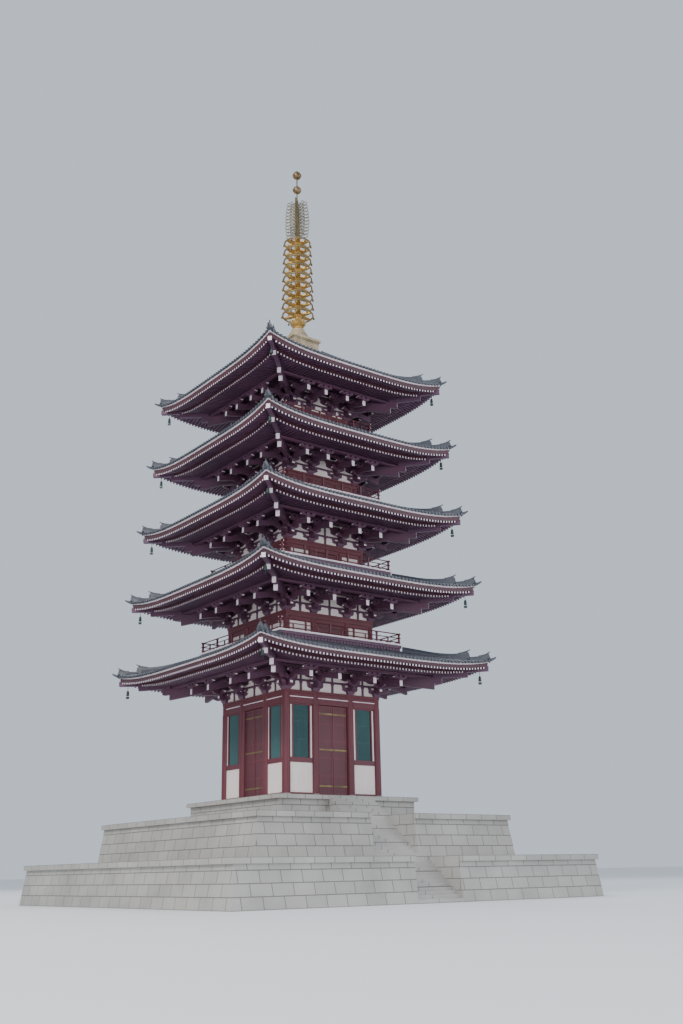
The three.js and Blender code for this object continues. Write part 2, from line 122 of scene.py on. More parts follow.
# Edges between faces that meet at more degrees than this stay sharp
SHARP_ANGLE = 35

# Places along a side, as shares of its half width, close together near the corners
HALF_ALONG = [0.22, 0.42, 0.58, 0.7, 0.79, 0.87, 0.94]
ALONG = [-1, *[-share for share in reversed(HALF_ALONG)], 0, *HALF_ALONG]

# Cosine and sine of the quarter turns, and the share of a diagonal length that each axis takes
QUARTER_TURNS = [(1, 0), (0, 1), (-1, 0), (0, -1)]
DIAGONAL = math.sqrt(0.5)


def eave_line(storey):
    return storey.corner - storey.sag


def plate_top(storey):
    return eave_line(storey) - PLATE_DROP


def purlin_of(storey):
    return storey.eave - PURLIN_INSET


def lift_share(storey, half, power):
    """Share of the corner's rise at a distance from the centre, from the purlin out to the eave."""
    share = (half - purlin_of(storey)) / PURLIN_INSET
    return min(1.0, max(0.0, share)) ** power


def timber_lift(storey, half, along):
    """Rise of the rafters at a place; along is the share of the side's half width."""
    share = RAFTER_LIFT * lift_share(storey, half, 0.5)
    return storey.sag * share * abs(along) ** LIFT_POWER


def soffit(storey, half):
    """Height of the underside of the lower rafter row at mid side."""
    return eave_line(storey) - SOFFIT_DROP + SOFFIT_SLOPE * (purlin_of(storey) - half)


def deck_top(storey, half):
    return eave_line(storey) + DECK_RISE * (storey.eave - half)


def circle(count, start=0):
    """Cosines and sines of equal steps round a full turn; start is in steps."""
    angles = [2 * math.pi * (k + start) / count for k in range(count)]
    return [(math.cos(angle), math.sin(angle)) for angle in angles]


def interpolate(table, value):
    """Value read from a short list of [place, value] by straight lines."""
    for (a, first), (b, second) in zip(table, table[1:]):
        if value <= b:
            return first + (second - first) * max(0.0, value - a) / (b - a)
    return table[-1][1]


def link_object(name, data):
    """New object that shows the data in the scene."""
    item = bpy.data.objects.new(name, data)
    bpy.context.scene.collection.objects.link(item)
    return item


class Shell:
    """Collects the faces of one piece, each with a material slot."""

    def __init__(self):
        self.points, self.faces, self.slots = [], [], []

    def add(self, points, faces, slots):
        """Faces over points of their own, each with its slot."""
        base = len(self.points)
        self.points.extend(points)
        self.faces.extend([base + k for k in face] for face in faces)
        self.slots.extend(slots)

    def merge(self, other, turn=0, mirror=False):
        """Adds another shell, turned about the centre line by quarter turns."""
        cos, sin = QUARTER_TURNS[turn]
        flip = -1 if mirror else 1
        points = [(flip * x * cos - y * sin, flip * x * sin + y * cos, z) for x, y, z in other.points]
        faces = [face[::-1] for face in other.faces] if mirror else other.faces
        self.add(points, faces, other.slots)

    def on_four_sides(self, side):
        for turn in range(4):
            self.merge(side, turn)

    def box(self, x0, x1, y0, y1, z0, z1, slot=0):
        points = [(x, y, z) for z in (z0, z1) for y in (y0, y1) for x in (x0, x1)]
        faces = [[0, 2, 3, 1], [4, 5, 7, 6], [0, 1, 5, 4], [2, 6, 7, 3], [0, 4, 6, 2], [1, 3, 7, 5]]
        self.add(points, faces, [slot] * len(faces))

    def sweep(self, rings, slots=0, caps=(None, None), closed=True, loop=False):
        """Skin over rings of points that follow each other; slots may name each edge's slot.

        The ends get the slots in caps, or else the first edge's; a loop ends where it begins.
        """
        count = len(rings[0])
        edges = slots if isinstance(slots, list) else [slots] * count
        faces, marks = [], []
        for k in range(len(rings) if loop else len(rings) - 1):
            here, there = k * count, (k + 1) % len(rings) * count
            for i in range(count if closed else count - 1):
                j = (i + 1) % count
                faces.append([here + i, here + j, there + j, there + i])
                marks.append(edges[i])
        if closed and not loop:
            last = (len(rings) - 1) * count
            faces += [list(range(count))[::-1], list(range(last, last + count))]
            marks += [edges[0] if cap is None else cap for cap in caps]
        self.add([p for ring in rings for p in ring], faces, marks)

    def beam(self, x, width, stations, slot, tip):
        """Bar that runs back along Y through stations of [y, low, high]; tip is its front end's slot."""
        left, right = x - width / 2, x + width / 2
        self.sweep([
            [(left, y, high), (right, y, high), (right, y, low), (left, y, low)] for y, low, high in stations
        ], slot, (tip, None))

    def tube(self, path, radius, sides, slot=0, caps=(None, None)):
        """Round bar along a path; radius is one number or one for each point."""
        radii = radius if isinstance(radius, list) else [radius] * len(path)
        spots = [Vector(p) for p in path]
        rings = []
        for i, spot in enumerate(spots):
            ahead = (spots[min(i + 1, len(spots) - 1)] - spots[max(i - 1, 0)]).normalized()
            guide = Vector((0, 0, 1)) if abs(ahead.z) < 0.9 else Vector((0, 1, 0))
            across = ahead.cross(guide).normalized()
            up = across.cross(ahead)
            ring = [tuple(spot + radii[i] * (cos * across - sin * up)) for cos, sin in circle(sides)]
            rings.append(ring[::-1])
        self.sweep(rings, slot, caps)

    def turned(self, profile, sides, slot=0, centre=(0, 0, 0)):
        """Body turned about an upright line, from [radius, height over its centre] up its outside."""
        x, y, base = centre
        rings = []
        for radius, z in profile:
            rings.append([(x + radius * cos, y + radius * sin, base + z) for cos, sin in circle(sides)])
        self.sweep(rings, slot)

    def ring(self, profile, sag=0, slots=0):
        """Ring round a square plan from a closed profile of [half width, height, share of sag].

        It runs counter-clockwise with the outside on the right; slots may name each edge's slot.
        """
        sections = []
        for cos, sin in QUARTER_TURNS:
            for along in ALONG if sag else [-1]:
                section = []
                for half, z, *share in profile:
                    x, y = half * along, -half
                    z += sag * sum(share) * abs(along) ** LIFT_POWER
                    section.append((x * cos - y * sin, x * sin + y * cos, z))
                sections.append(section)
        self.sweep(sections[::-1], slots, loop=True)

    def bands(self, half, *rows):
        """Plain square rings round a half width from (reach in, reach out, low, high, slot)."""
        for reach_in, reach_out, low, high, slot in rows:
            inside, outside = half - reach_in, half + reach_out
            self.ring([(inside, low), (outside, low), (outside, high), (inside, high)], 0, slot)

    def build(self, name, materials, node=None, body=BODY):
        """Makes the piece in the scene, on its body and in place of its solid."""
        mesh = bpy.data.meshes.new(name)
        points = [(x * SCALE, y * SCALE, z * SCALE) for x, y, z in self.points]
        mesh.from_pydata(points, [], self.faces)
        for item in materials:
            mesh.materials.append(item)
        mesh.polygons.foreach_set("material_index", self.slots)
        mesh.polygons.foreach_set("use_smooth", [True] * len(self.faces))
        mesh.set_sharp_from_angle(angle=math.radians(SHARP_ANGLE))
        mesh.update()
        piece = link_object(name, mesh)
        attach(piece, body)
        if node:
            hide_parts(node)


class Nodes:
    """Small helper to write a material's node tree."""

    def __init__(self, name):
        self.material = bpy.data.materials.new(name)
        self.material.use_nodes = True
        self.tree = self.material.node_tree
        self.shader = self.tree.nodes["Principled BSDF"]
        self.place = self.tree.nodes.new("ShaderNodeTexCoord").outputs["Object"]

    def add(self, kind, settings=None, **inputs):
        node = self.tree.nodes.new("ShaderNode" + kind)
        for key, value in (settings or {}).items():
            setattr(node, key, value)
        for key, value in inputs.items():
            self.put(node, key, value)
        return node

    def put(self, node, key, value):
        """Value or link for an input, which is named, or numbered as in _2."""
        socket = node.inputs[int(key[1:])] if key[0] == "_" else node.inputs[key.replace("_", " ")]
        if isinstance(value, bpy.types.NodeSocket):
            self.tree.links.new(value, socket)
        else:
            socket.default_value = value

    def math(self, operation, *values):
        inputs = {f"_{i}": value for i, value in enumerate(values)}
        return self.add("Math", {"operation": operation}, **inputs).outputs[0]

    def blend(self, first, weight, second, other):
        """Sum of two values, each times its weight."""
        return self.math("MULTIPLY_ADD", first, weight, self.math("MULTIPLY", second, other))

    def noise(self, scale, detail, place=None):
        node = self.add("TexNoise", Vector=place or self.place, Scale=scale, Detail=detail)
        return node.outputs["Fac"]

    def ramp(self, value, stops):
        node = self.add("ValToRGB", Fac=value)
        while len(node.color_ramp.elements) < len(stops):
            node.color_ramp.elements.new(0.5)
        for element, (spot, colour) in zip(node.color_ramp.elements, stops):
            element.position = spot
            element.color = (*colour, 1)
        return node.outputs["Color"]

    def span(self, value, low, high):
        """Value from 0..1 moved to low..high."""
        return self.add("MapRange", Value=value, To_Min=low, To_Max=high).outputs[0]

    def mix(self, share, first, second):
        return self.add("Mix", {"data_type": "RGBA"}, _0=share, _6=first, _7=second).outputs[2]

    def axes(self):
        return self.add("SeparateXYZ", Vector=self.place).outputs

    def bump(self, height, strength, distance):
        node = self.add("Bump", Height=height, Strength=strength, Distance=distance)
        self.put(self.shader, "Normal", node.outputs[0])

    def finish(self, colour, roughness, metallic=0.0):
        for key, value in (("Base_Color", colour), ("Roughness", roughness), ("Metallic", metallic)):
            self.put(self.shader, key, value)
        return self.material


def paint(name, light, dark, roughness, streak):
    """Painted timber: broad fading, fine brush marks and a little grime."""
    n = Nodes(name)
    broad = n.noise(0.9, 5.0)
    fine = n.noise(26.0, 6.0)
    stretched = n.add("Mapping", Vector=n.place, Scale=(9.0, 9.0, 0.9)).outputs[0]
    runs = n.noise(2.0, 5.0, stretched)
    mixed = n.blend(runs, streak, n.blend(fine, 0.35, broad, 0.65), 1 - streak)
    colour = n.ramp(mixed, [(0.3, dark), (0.62, light)])
    n.bump(fine, 0.25, 0.004)
    return n.finish(colour, n.span(fine, roughness - 0.08, roughness + 0.14))


def tile_material():
    """Grey-blue barrel tiles with a joint every tile and each tile its own shade."""
    n = Nodes("roof_tile")
    x, y, _ = n.axes()
    across, back = n.math("ABSOLUTE", x), n.math("ABSOLUTE", y)
    half = n.math("MAXIMUM", across, back)
    side = n.math("MINIMUM", across, back)
    course = n.math("DIVIDE", half, TILE["length"] * SCALE)
    row = n.math("DIVIDE", side, TILE["pitch"] * SCALE)
    face = n.math("GREATER_THAN", across, back)
    cell = n.add("CombineXYZ", X=n.math("FLOOR", course), Y=n.math("FLOOR", row), Z=face)
    own = n.add("TexWhiteNoise", {"noise_dimensions": "3D"}, Vector=cell.outputs[0])
    joint = n.math("LESS_THAN", n.math("FRACT", course), 0.12)
    weather = n.noise(1.6, 6.0)
    fine = n.noise(45.0, 5.0)
    tone = n.blend(own.outputs["Value"], 0.4, weather, 0.6)
    dark, middle, light = (0.052, 0.056, 0.071), (0.096, 0.1, 0.12), (0.16, 0.166, 0.188)
    colour = n.ramp(tone, [(0.2, dark), (0.5, middle), (0.8, light)])
    colour = n.mix(n.math("MULTIPLY", joint, 0.6), colour, (0.04, 0.05, 0.06, 1))
    height = n.math("SUBTRACT", n.math("MULTIPLY", fine, 0.12), joint)
    n.bump(height, 0.5, 0.012)
    return n.finish(colour, n.span(weather, 0.34, 0.62))


def stone_material(name, block, course, slab, light, dark):
    """Dressed stone in courses on upright faces, and square slabs on level ones."""
    n = Nodes(name)
    x, y, z = n.axes()
    wall = n.add("CombineXYZ", X=n.math("ADD", x, y), Y=z)
    level = n.add("CombineXYZ", X=x, Y=y)
    normal = n.add("SeparateXYZ", Vector=n.add("NewGeometry").outputs["Normal"])
    flat = n.math("GREATER_THAN", normal.outputs[2], 0.7)
    joints, tones = [], []
    for vector, width, height in ((wall, block, course), (level, slab, slab)):
        brick = n.add(
            "TexBrick", Vector=vector.outputs[0], Scale=1.0, Mortar_Size=0.012,
            Brick_Width=width, Row_Height=height, Color1=(0.25, 0.25, 0.25, 1), Color2=(0.8, 0.8, 0.8, 1),
        )
        joints.append(brick.outputs["Fac"])
        tones.append(brick.outputs["Color"])
    joint = n.mix(flat, *joints)
    tone = n.mix(flat, *tones)
    grain = n.noise(60.0, 6.0)
    broad = n.noise(0.8, 5.0)
    shade = n.math("MULTIPLY_ADD", tone, 0.2, n.blend(broad, 0.5, grain, 0.3))
    colour = n.ramp(shade, [(0.3, dark), (0.7, light)])
    colour = n.mix(n.math("MULTIPLY", joint, 0.7), colour, (0.12, 0.11, 0.1, 1))
    height = n.math("SUBTRACT", n.math("MULTIPLY", grain, 0.25), joint)
    n.bump(height, 0.6, 0.01)
    return n.finish(colour, n.span(grain, 0.72, 0.9))


def gilt_material(name, bright, worn, roughness, metallic):
    """Gilded metal, dulled in patches."""
    n = Nodes(name)
    patches = n.noise(3.2, 6.0)
    fine = n.noise(30.0, 5.0)
    tone = n.blend(fine, 0.4, patches, 0.6)
    colour = n.ramp(tone, [(0.36, worn), (0.58, bright)])
    n.bump(fine, 0.3, 0.006)
    return n.finish(colour, n.span(tone, roughness + 0.2, roughness - 0.12), metallic)


RED = paint("vermilion_paint", (0.155, 0.026, 0.037), (0.09, 0.016, 0.026), 0.48, 0.3)
# Rafters, soffit boards and the eave boards' undersides and face get darker, bluish reds than the vermilion:
# painted shade under the eaves.
SHADED_RAFTER_RED = paint("rafter_painted_shade", (0.126, 0.05, 0.094), (0.077, 0.037, 0.073), 0.55, 0.2)
SHADED_SOFFIT = paint("soffit_boards_painted_shade", (0.108, 0.066, 0.134), (0.068, 0.045, 0.096), 0.6, 0.1)
# Brackets, balcony undersides and skirts: a darker, bluish red that is painted shade.
SHADE_RED = paint("bracket_painted_shade", (0.13, 0.047, 0.087), (0.08, 0.036, 0.069), 0.52, 0.2)
SHADED_EAVE_RED = paint("eave_painted_shade", (0.08, 0.02, 0.03), (0.05, 0.013, 0.021), 0.5, 0.2)
DOOR_RED = paint("door_paint", (0.125, 0.026, 0.035), (0.072, 0.016, 0.024), 0.5, 0.2)
WHITE = paint("white_paint", (0.92, 0.81, 0.83), (0.75, 0.64, 0.67), 0.5, 0.3)
PLASTER = paint("lime_plaster", (0.91, 0.81, 0.75), (0.76, 0.65, 0.6), 0.85, 0.3)
GREEN = paint("green_paint", (0.034, 0.12, 0.118), (0.019, 0.072, 0.078), 0.5, 0.2)
BRONZE = gilt_material("green_bronze", (0.045, 0.075, 0.068), (0.022, 0.04, 0.038), 0.5, 0.6)
TILES = tile_material()
RIDGE = paint("ridge_tile", (0.077, 0.085, 0.101), (0.035, 0.04, 0.052), 0.45, 0.35)
GOLD = gilt_material("gilding", (0.56, 0.36, 0.1), (0.34, 0.2, 0.06), 0.5, 0.65)
PALE_GOLD = gilt_material("pale_gilding", (0.54, 0.43, 0.28), (0.28, 0.22, 0.145), 0.52, 0.5)
JEWEL_GOLD = gilt_material("jewel_gilding", (0.255, 0.17, 0.09), (0.125, 0.083, 0.047), 0.4, 0.9)
DULL_GOLD = gilt_material("dull_gilding", (0.27, 0.195, 0.09), (0.13, 0.1, 0.055), 0.5, 0.75)
# Darker bronze: weathering, and painted shade where it covers the outer sides of the finial's rings.
WEATHERED_SHADED_BRONZE = gilt_material("weathered_shaded_bronze", (0.23, 0.185, 0.1), (0.12, 0.1, 0.062), 0.55, 0.5)
STONE = stone_material("podium_stone", 0.62, 0.3, 0.6, (0.5, 0.48, 0.44), (0.3, 0.285, 0.26))
STEP_STONE = stone_material("step_stone", 1.2, 0.4, 1.2, (0.54, 0.52, 0.48), (0.36, 0.34, 0.32))
BOARD = paint("floor_boards", (0.3, 0.2, 0.14), (0.17, 0.11, 0.08), 0.65, 0.2)


def rafter_places(limit):
    """Centres of the rafters on one side, evenly from the middle out."""
    count = int(limit / RAFTER["pitch"] + 0.5)
    return [(i + 0.5) * RAFTER["pitch"] for i in range(-count, count)]


def rafter(shell, x, spots, height_at, slot, tip):
    """One rafter along a list of distances from its tip inwards."""
    lows = [height_at(distance, x) for distance in spots]
    stations = [(-distance, low, low + RAFTER["height"]) for distance, low in zip(spots, lows)]
    shell.beam(x, RAFTER["width"], stations, slot, tip)


def diagonal_plate(shell, outline, width, slots=0):
    """Upright plate on the front left diagonal from [half width, height]."""
    step = width / 2 * DIAGONAL
    shell.sweep([[(-half + side, -half - side, z) for half, z in outline] for side in (step, -step)], slots)


def make_eaves(storey, number):
    """Deck boards, two rows of rafters, the eave boards with their white line, and hip rafters."""
    # The boards, timber and shade slots hold darker, bluish reds: painted shade under the eaves; the deck's
    # top keeps the vermilion.
    red, boards, white, timber, shade = range(5)
    line, high, eave = eave_line(storey), storey.corner, storey.eave
    trim = line + storey.trim
    row, purlin, foot = eave - ROW_INSET, purlin_of(storey), eave - TILE_SHELL["foot"]
    tips, inner, tall = eave - 0.1, storey.columns - 0.12, RAFTER["height"]
    share = RAFTER_LIFT * lift_share(storey, row, 0.5)
    eaves = Shell()
    eaves.ring([
        (inner, soffit(storey, inner) + tall),
        (purlin, soffit(storey, purlin) + tall),
        (row - 0.1, soffit(storey, row) + tall - 0.01, share),
        (row - 0.02, soffit(storey, row) + tall - 0.01, share),
        (row - 0.02, line - 0.05, share),
        (eave - 0.14, line - 0.235, RAFTER_LIFT),
        (eave - 0.075, line - 0.235, RAFTER_LIFT),
        (eave - 0.055, trim - 0.05, 1),
        (eave, trim - 0.025, 1),
        (eave, trim + 0.075, 1),
        (foot, deck_top(storey, foot), lift_share(storey, foot, 0.5)),
        (purlin, deck_top(storey, purlin)),
        (inner, deck_top(storey, inner)),
    ], storey.sag, [boards, boards, shade, shade, boards, shade, shade, white, white, *[red] * 4])

    def lower(distance, x):
        return soffit(storey, distance) + timber_lift(storey, distance, x / distance)

    def upper(distance, x):
        rise = 0.18 * (tips - distance) / (tips - row)
        return line - 0.35 + rise + timber_lift(storey, distance, x / distance)

    side = Shell()
    for x in rafter_places(row - 0.25):
        end = max(storey.columns + 0.05, abs(x) + 0.15)
        between = [spot for spot in (row - 0.5, purlin) if spot > end + 0.1]
        rafter(side, x, [row, *between, end], lower, timber, white)
    for x in rafter_places(eave - 0.34):
        end = max(row - 0.05, abs(x) + 0.15)
        rafter(side, x, [tips, (tips + end) / 2, end], upper, timber, white)
    hip = [
        (purlin + 0.14, line - HIP_DROP), (purlin + 0.6, line - HIP_DROP),
        (row - 0.05, high - 0.93), (row + 0.05, high - 0.93), (row + 0.05, high - 0.62),
        (eave - 0.04, high - 0.58), (eave - 0.03, high - 0.3), (eave - 0.12, high - 0.2),
        (purlin + 0.14, line + 0.05),
    ]
    diagonal_plate(side, hip, 0.25, [timber, timber, timber, white, timber, white] + [timber] * 3)
    eaves.on_four_sides(side)
    eaves.build(f"timber_eaves_{number}", [RED, SHADED_SOFFIT, WHITE, SHADED_RAFTER_RED, SHADED_EAVE_RED], f"eaves_{number}")


def make_bells(storey, number):
    """Bronze bell under each corner, with its hook, clapper and wind plate."""
    at, z = storey.eave - 0.46, storey.corner - 1.09
    bell = Shell()
    bell.turned([
        (0.1, -0.12), (0.108, -0.1), (0.096, -0.03), (0.088, 0.1), (0.078, 0.16), (0.05, 0.2), (0.012, 0.21),
    ], 14, 0, (-at, -at, z))
    bell.tube([(-at, -at, z - 0.2), (-at, -at, z + 0.46)], 0.016, 6)
    wind_plate = [(-0.07, -0.34), (0.07, -0.34), (0.09, -0.18), (-0.09, -0.18)]
    diagonal_plate(bell, [(at + out, z + up) for out, up in wind_plate], 0.02)
    bells = Shell()
    bells.on_four_sides(bell)
    bells.build(f"wind_bells_{number}", [BRONZE])


class Roof:
    """Shape of one tiled roof: from its edge up to its inner end, which may sink below its top."""

    def __init__(self, storey, inner, top, sink):
        self.storey, self.inner, self.top, self.sink = storey, inner, top, sink
        self.edge = storey.eave + TILE["overhang"]
        self.low = eave_line(storey) + storey.trim + TILE["rise"]

    def surface(self, half):
        """Height of the tile rows' axes at mid side."""
        share = (self.edge - half) / (self.edge - self.inner)
        slope = self.low + (self.top - self.low) * (0.72 * share + 0.28 * share**2)
        return slope - self.sink * share**4 - TILE["radius"]

    def at(self, x, half):
        lift = lift_share(self.storey, half, 1.5) * abs(x / half) ** LIFT_POWER
        return self.surface(half) + self.storey.sag * lift

    def corner(self, half):
        return self.at(half, half)


def roof_covering(roof, tiles, plain):
    """Barrel tile rows and the valleys between them on the front side, with round end tiles."""
    pitch, radius, valley = TILE["pitch"], TILE["radius"], TILE["valley"]
    edge = roof.edge
    count = int(edge / pitch)
    section = [(-pitch / 2, -valley), (-radius, -valley * 0.4)]
    section += [(-radius * cos, radius * sin) for cos, sin in circle(8)[1:4]]
    section.append((radius, -valley * 0.4))
    rows = [i * pitch for i in range(-count, count + 1)]
    lines = [(x + offset, rise) for x in rows for offset, rise in section]
    lines.append(((count + 0.5) * pitch, -valley))
    rings = []
    for x, rise in lines:
        if abs(x) < edge - 0.02:
            end = max(abs(x), roof.inner)
            halves = [edge + (end - edge) * share for share in (0, 0.1, 0.22, 0.36, 0.52, 0.68, 0.84, 1)]
            rings.append([(x, -half, roof.at(x, half) + rise) for half in halves])
    covering = Shell()
    covering.sweep(rings, tiles, closed=False)
    for x in rows:
        if abs(x) <= edge - 0.12:
            z = roof.at(x, edge) + 0.005
            covering.tube([(x, -edge + 0.1, z), (x, -edge - 0.03, z - 0.008)], [0.075, 0.088], 10, plain)
    return covering


def ridge_section(width, steps):
    """Stepped section of a ridge, one unit high: courses that narrow upwards under a barrel tile."""
    courses = 0.66
    outline = []
    for i in range(steps):
        half = width / 2 - 0.03 * i
        outline += [(half, courses * (i + up) / steps) for up in (0, 0.7)]
    radius = width / 2 - 0.03 * steps
    outline += [(radius * cos, courses + (1 - courses) * sin) for cos, sin in circle(12)[:7]]
    return outline + [(-x, z) for x, z in outline[:2 * steps][::-1]]


def ridge_run(shell, roof, start, stop, section, heights, steps):
    """Ridge along the front left hip; heights lists [distance back from its outer end, height]."""
    rings = []
    for i in range(steps + 1):
        half = start + (stop - start) * (1 - (1 - i / steps) ** 1.6)
        z = roof.corner(half) - RIDGE_SINK
        tall = interpolate(heights, stop - half) + RIDGE_SINK
        rings.append([(-half - x * DIAGONAL, -half + x * DIAGONAL, z + up * tall) for x, up in section])
    shell.sweep(rings)


def ridge_horn(shell, roof, start, reach, rises, radius):
    """Round tile along a ridge's top that turns up past its end."""
    last = len(rises) - 1
    path = []
    for k, rise in enumerate(rises):
        at = start + reach * k / last
        path.append((-at, -at, roof.corner(min(at, roof.edge)) + rise))
    shell.tube(path, [radius * (1 - 0.7 * k / last) for k in range(last + 1)], 10)


def end_tile(shell, half, width, tall, base):
    """Shield-shaped ridge end with a raised inner shield and a boss."""

    def place(across, out, up):
        along, aside = half + out * DIAGONAL, across * DIAGONAL
        return (-along - aside, -along + aside, base + up)

    right = [(0.5, 0.0), (0.54, 0.1), (0.42, 0.2), (0.38, 0.45), (0.3, 0.62), (0.2, 0.78), (0.12, 0.95)]
    outline = right + [(0, 1.0)] + [(-x, z) for x, z in right[::-1]]
    for size, *outs in ((1.0, -0.1, 0.02), (0.74, 0.02, 0.055)):
        shield = [(x * width * size, z * tall * size + 0.02) for x, z in outline]
        shell.sweep([[place(x, out, z) for x, z in shield] for out in outs])
    shell.tube([place(0, out, tall * 0.38) for out in (0.05, 0.1)], [width * 0.15, width * 0.09], 10)


def make_roof(storey, number, inner, top):
    """Tiled roof: the shell under the tiles and the tile rows, then the hip ridges."""
    tiles, plain = range(2)
    sink = SKIRT if number < len(STOREYS) else 0
    meet = top - sink
    roof = Roof(storey, inner, top, sink)
    edge, eave, trim = roof.edge, storey.eave, eave_line(storey) + storey.trim
    neck, foot = inner - TILE_SHELL["neck"], eave - TILE_SHELL["foot"]
    thickness = TILE_SHELL["thickness"]
    near, far = (edge - share * (edge - inner) for share in (0.35, 0.68))
    halves = [edge + (far - edge) * k / 6 for k in range(1, 7)]
    over = [(half, roof.surface(half) - 0.06, lift_share(storey, half, 1.5)) for half in halves]
    tiled = Shell()
    tiled.ring([
        (eave + 0.01, trim + 0.05, 1),
        (edge - 0.03, trim + 0.05, 1),
        (edge - 0.02, roof.surface(edge) - 0.025, 1),
        *over,
        (inner, meet - 0.1),
        (inner, meet - 0.01),
        (neck, meet - 0.01),
        (neck, deck_top(storey, neck)),
        (inner, deck_top(storey, inner)),
        (inner, roof.surface(inner) - thickness),
        (near, roof.surface(near) - thickness, lift_share(storey, near, 1.5)),
        (foot, deck_top(storey, foot) + 0.01, lift_share(storey, foot, 0.5)),
    ], storey.sag, plain)
    tiled.on_four_sides(roof_covering(roof, tiles, plain))
    tiled.build(f"roof_tiles_{number}", [TILES, RIDGE], f"roof_{number}")
    make_ridges(roof, number, inner + (0.1 if sink else -0.05))


def make_ridges(roof, number, start):
    """Stepped ridges on the hips: an inner run and a lower outer one, with end tiles and horns."""
    eave = roof.storey.eave
    first = eave - 0.88
    inner_heights = [(0, 0.6), (0.15, 0.54), (0.4, 0.46), (0.8, 0.4), (1.4, 0.38), (9, 0.4)]
    outer_heights = [(0, 0.44), (0.15, 0.37), (0.4, 0.29), (0.8, 0.24), (2, 0.24)]
    hip = Shell()
    ridge_run(hip, roof, start, first - 0.06, ridge_section(0.4, 3), inner_heights, 10)
    ridge_run(hip, roof, first - 0.3, eave - 0.02, ridge_section(0.36, 2), outer_heights, 8)
    end_tile(hip, first - 0.02, 0.46, 0.52, roof.corner(first))
    end_tile(hip, eave + 0.01, 0.44, 0.42, roof.corner(eave))
    ridge_horn(hip, roof, first - 0.5, 0.56, [0.4, 0.46, 0.53, 0.62, 0.72], 0.095)
    ridge_horn(hip, roof, eave - 0.45, 0.53, [0.24, 0.28, 0.34, 0.44, 0.57], 0.095)
    ridge_horn(hip, roof, eave - 0.2, 0.54, [0.0, -0.01, 0.02, 0.09, 0.19], 0.16)
    ridges = Shell()
    ridges.on_four_sides(hip)
    ridges.build(f"hip_ridges_{number}", [RIDGE])


def bearing_block(shell, x, y, z, width, height):
    """Square bearing block, tapered in its lower part."""
    half, foot = width / 2, width * 0.36
    rings = []
    for r, up in ((foot, z), (half, z + height * 0.45), (half, z + height)):
        rings.append([(x - r, y - r, up), (x + r, y - r, up), (x + r, y + r, up), (x - r, y + r, up)])
    shell.sweep(rings)


def cross_arm(shell, x, y, z, reach, height, end_slot):
    """Bracket arm across the front, with rounded lower corners."""
    r = min(reach * 0.4, height * 1.3)
    right = [(reach - r, 0), (reach - r * 0.35, height * 0.2), (reach, height * 0.5), (reach, height)]
    outline = right + [(-dx, up) for dx, up in right[::-1]]
    depth = ARM_WIDTH / 2
    rings = [[(x + dx, y + dy, z + up) for dx, up in outline] for dy in (depth, -depth)]
    shell.sweep(rings, [0, 0, end_slot, 0, end_slot, 0, 0, 0])


def radial_arm(shell, x, y0, y1, z, height):
    """Bracket arm that runs out from the wall to y1, rounded below its end."""
    r = height * 1.1
    outline = [
        (y0, z), (y1 + r, z), (y1 + r * 0.3, z + height * 0.3), (y1, z + height * 0.7),
        (y1, z + height), (y0, z + height),
    ]
    half = ARM_WIDTH / 2
    shell.sweep([[(x + dx, y, up) for y, up in outline] for dx in (-half, half)])


def bracket_cluster(shell, storey, x, end_slot):
    """Bracket cluster over one column on the front side, without its tail beam."""
    columns, low, bar = storey.columns, plate_top(storey), storey.bar
    if x < columns:
        bearing_block(shell, x, -columns, low, 0.54, 0.24)
    # Cross arms: distance out from the wall, height over the plate, reach and height of the arm
    for distance, height, reach, tall in (
        (0.02, 0.19, 0.62, bar - 0.31), (0.02, bar + 0.27, 0.76, 0.79 - bar),
        (0.45, 0.58, 0.5, 0.2), (0.95, 0.92, 0.5, 0.2), (purlin_of(storey) - columns, 0.87, 0.52, 0.12),
    ):
        y = -columns - distance
        bearing_block(shell, x, y, low + height - 0.1, 0.26, 0.13)
        cross_arm(shell, x, y, low + height, reach, tall, end_slot)
        for dx in (-reach + 0.12, 0, reach - 0.12):
            bearing_block(shell, x + dx, y, low + height + tall - 0.01, 0.24, 0.13)
    radial_arm(shell, x, -columns, -columns - 0.6, low + 0.22, 0.24)
    radial_arm(shell, x, -columns, -columns - 1.12, low + 0.6, 0.22)


